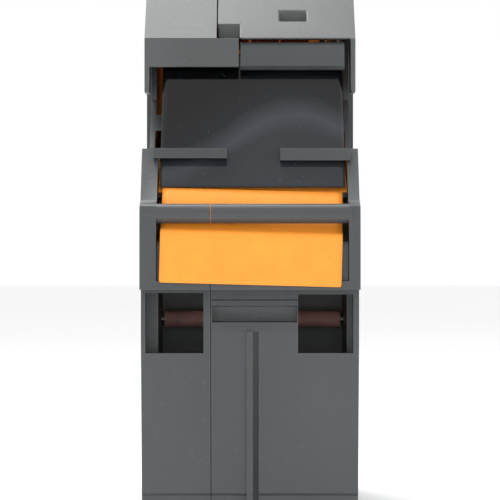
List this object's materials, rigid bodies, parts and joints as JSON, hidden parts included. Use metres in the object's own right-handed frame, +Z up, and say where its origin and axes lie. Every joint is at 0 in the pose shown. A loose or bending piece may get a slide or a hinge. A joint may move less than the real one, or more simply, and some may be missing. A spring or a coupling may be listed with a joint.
{
  "type": "price labeling gun",
  "caption": "Grey hand-held price labeling gun with an orange label on its nose, a smoked film guard, trigger, slanted handle and covered label roll.",
  "frame": {"origin": "under the middle of the gun's bounding box, on the flat face it rests on", "axes": "+Z up, nose towards -Y, +X to the wide shell half"},
  "size_m": [0.0344, 0.1712, 0.1425],
  "materials": {
    "grey_plastic": "moulded grey ABS, fine grain",
    "black_plastic": "moulded black plastic",
    "steel": "drawn steel",
    "zinc_steel": "zinc plated steel",
    "black_rubber": "textured soft rubber",
    "smoked_film": "glossy smoked film",
    "clear_plastic": "clear smoky plastic",
    "orange_paper": "fluorescent orange label stock",
    "backing_paper": "waxed backing paper",
    "card": "plain card tube",
    "red_rubber": "red-brown rubber",
    "ink_felt": "inked felt",
    "type_rubber": "moulded type rubber"
  },
  "bodies": {
    "root": {"left_housing": "grey_plastic", "right_housing": "grey_plastic", "trigger_axle": "steel", "print_axle": "steel", "feed_axle": "steel", "hinge_pins": "steel", "web_guide_pin": "steel", "turning_bar": "steel", "housing_screws": "zinc_steel", "nose_plate": "grey_plastic", "front_lip": "grey_plastic", "chamber_wall": "grey_plastic", "peel_plate": "steel", "print_bed": "black_plastic", "platen_pad": "black_rubber", "guard_film": "smoked_film", "roll_hubs": "black_plastic", "label_web": "orange_paper", "backing_web": "backing_paper", "dispensed_label": "orange_paper", "trigger_spring": "steel", "handle_grips": "black_rubber"},
    "trigger": {"trigger_lever": "grey_plastic", "trigger_pad": "black_rubber", "drive_pin": "steel", "feed_sector": "black_plastic"},
    "pinion": {"feed_pinion": "black_plastic"},
    "feed": {"feed_wheel": "black_plastic", "feed_ratchet": "black_plastic"},
    "pawl": {"holding_pawl": "black_plastic"},
    "print_arm": {"print_arm_left": "steel", "print_arm_right": "steel", "ink_arm_pin": "steel", "head_frame": "black_plastic", "type_shafts": "steel"},
    "ink_arm": {"ink_arms": "steel", "ink_axle": "steel"},
    "ink": {"ink_roller": "ink_felt", "ink_roller_core": "black_plastic"},
    "selector": {"knob_shaft": "steel"},
    "knob": {"setting_knob": "black_plastic"},
    "head_cover": {"head_cover_left": "grey_plastic", "head_cover_right": "grey_plastic"},
    "roll_lid": {"roll_cover": "clear_plastic"},
    "bottom_flap": {"bottom_cover": "grey_plastic", "pinch_roller_pin": "steel"},
    "pinch": {"pinch_roller": "black_rubber"},
    "latch": {"cover_latch": "grey_plastic"},
    "roll": {"label_roll": "orange_paper", "roll_core": "card"},
    "guide": {"web_guide_roller": "red_rubber"},
    "type_front_1": {"type_wheel_front_1": "type_rubber"},
    "type_front_2": {"type_wheel_front_2": "type_rubber"},
    "type_front_3": {"type_wheel_front_3": "type_rubber"},
    "type_front_4": {"type_wheel_front_4": "type_rubber"},
    "type_rear_1": {"type_wheel_rear_1": "type_rubber"},
    "type_rear_2": {"type_wheel_rear_2": "type_rubber"},
    "type_rear_3": {"type_wheel_rear_3": "type_rubber"},
    "type_rear_4": {"type_wheel_rear_4": "type_rubber"}
  },
  "joints": [
    {"name": "trigger_squeeze", "type": "hinge", "parent": "root", "child": "trigger", "pos_m": [0, 0.0126, 0.06596], "axis": [1, 0, 0], "range_deg": [0, 16], "stiffness_Nm_per_rad": 0.35, "springref_deg": -17.19},
    {"name": "print_arm_swing", "type": "hinge", "parent": "root", "child": "print_arm", "pos_m": [0, 0.02665, 0.078], "axis": [1, 0, 0], "range_deg": [0, 8]},
    {"name": "ink_arm_swing", "type": "hinge", "parent": "print_arm", "child": "ink_arm", "pos_m": [0, -0.04295, 0.0915], "axis": [1, 0, 0], "range_deg": [-68, 0]},
    {"name": "pinion_turn", "type": "hinge", "parent": "root", "child": "pinion", "pos_m": [0, -0.03935, 0.034], "axis": [1, 0, 0], "range_deg": [-72.73, 0]},
    {"name": "feed_turn", "type": "hinge", "parent": "root", "child": "feed", "pos_m": [0, -0.03935, 0.034], "axis": [1, 0, 0], "continuous": true},
    {"name": "pawl_lift", "type": "hinge", "parent": "root", "child": "pawl", "pos_m": [0, -0.03135, 0.049], "axis": [1, 0, 0], "range_deg": [-15, 0], "stiffness_Nm_per_rad": 0.002, "springref_deg": 11.46},
    {"name": "ink_spin", "type": "hinge", "parent": "ink_arm", "child": "ink", "pos_m": [0, -0.04344, 0.07211], "axis": [1, 0, 0], "continuous": true},
    {"name": "knob_pull", "type": "slide", "parent": "print_arm", "child": "selector", "axis": [1, 0, 0], "range_m": [0, 0.006]},
    {"name": "knob_turn", "type": "hinge", "parent": "selector", "child": "knob", "pos_m": [0, -0.03949, 0.09075], "axis": [1, 0, 0], "continuous": true},
    {"name": "head_cover_open", "type": "hinge", "parent": "root", "child": "head_cover", "pos_m": [0, -0.03775, 0.101], "axis": [1, 0, 0], "range_deg": [-75, 0]},
    {"name": "roll_cover_open", "type": "hinge", "parent": "root", "child": "roll_lid", "pos_m": [0, 0.03165, 0.112], "axis": [1, 0, 0], "range_deg": [-100, 0]},
    {"name": "bottom_cover_open", "type": "hinge", "parent": "root", "child": "bottom_flap", "pos_m": [0, -0.07035, 0.0045], "axis": [1, 0, 0], "range_deg": [-70, 0]},
    {"name": "pinch_spin", "type": "hinge", "parent": "bottom_flap", "child": "pinch", "pos_m": [0, -0.03935, 0.0174], "axis": [1, 0, 0], "continuous": true},
    {"name": "latch_slide", "type": "slide", "parent": "bottom_flap", "child": "latch", "axis": [0, -1, 0], "range_m": [0, 0.0025]},
    {"name": "roll_spin", "type": "hinge", "parent": "root", "child": "roll", "pos_m": [0, -0.00135, 0.113], "axis": [1, 0, 0], "continuous": true},
    {"name": "guide_spin", "type": "hinge", "parent": "root", "child": "guide", "pos_m": [0, -0.06135, 0.0374], "axis": [1, 0, 0], "continuous": true},
    {"name": "type_front_1_turn", "type": "hinge", "parent": "print_arm", "child": "type_front_1", "pos_m": [0, -0.04675, 0.08179], "axis": [1, 0, 0], "continuous": true},
    {"name": "type_front_2_turn", "type": "hinge", "parent": "print_arm", "child": "type_front_2", "pos_m": [0, -0.04675, 0.08179], "axis": [1, 0, 0], "continuous": true},
    {"name": "type_front_3_turn", "type": "hinge", "parent": "print_arm", "child": "type_front_3", "pos_m": [0, -0.04675, 0.08179], "axis": [1, 0, 0], "continuous": true},
    {"name": "type_front_4_turn", "type": "hinge", "parent": "print_arm", "child": "type_front_4", "pos_m": [0, -0.04675, 0.08179], "axis": [1, 0, 0], "continuous": true},
    {"name": "type_rear_1_turn", "type": "hinge", "parent": "print_arm", "child": "type_rear_1", "pos_m": [0, -0.03817, 0.08232], "axis": [1, 0, 0], "continuous": true},
    {"name": "type_rear_2_turn", "type": "hinge", "parent": "print_arm", "child": "type_rear_2", "pos_m": [0, -0.03817, 0.08232], "axis": [1, 0, 0], "continuous": true},
    {"name": "type_rear_3_turn", "type": "hinge", "parent": "print_arm", "child": "type_rear_3", "pos_m": [0, -0.03817, 0.08232], "axis": [1, 0, 0], "continuous": true},
    {"name": "type_rear_4_turn", "type": "hinge", "parent": "print_arm", "child": "type_rear_4", "pos_m": [0, -0.03817, 0.08232], "axis": [1, 0, 0], "continuous": true}
  ],
  "couplings": [
    {"joint": "print_arm_swing", "follows": "trigger_squeeze", "ratio": 0.5},
    {"joint": "ink_arm_swing", "follows": "trigger_squeeze", "ratio": -4.25},
    {"joint": "pinion_turn", "follows": "trigger_squeeze", "ratio": -4.5455}
  ]
}
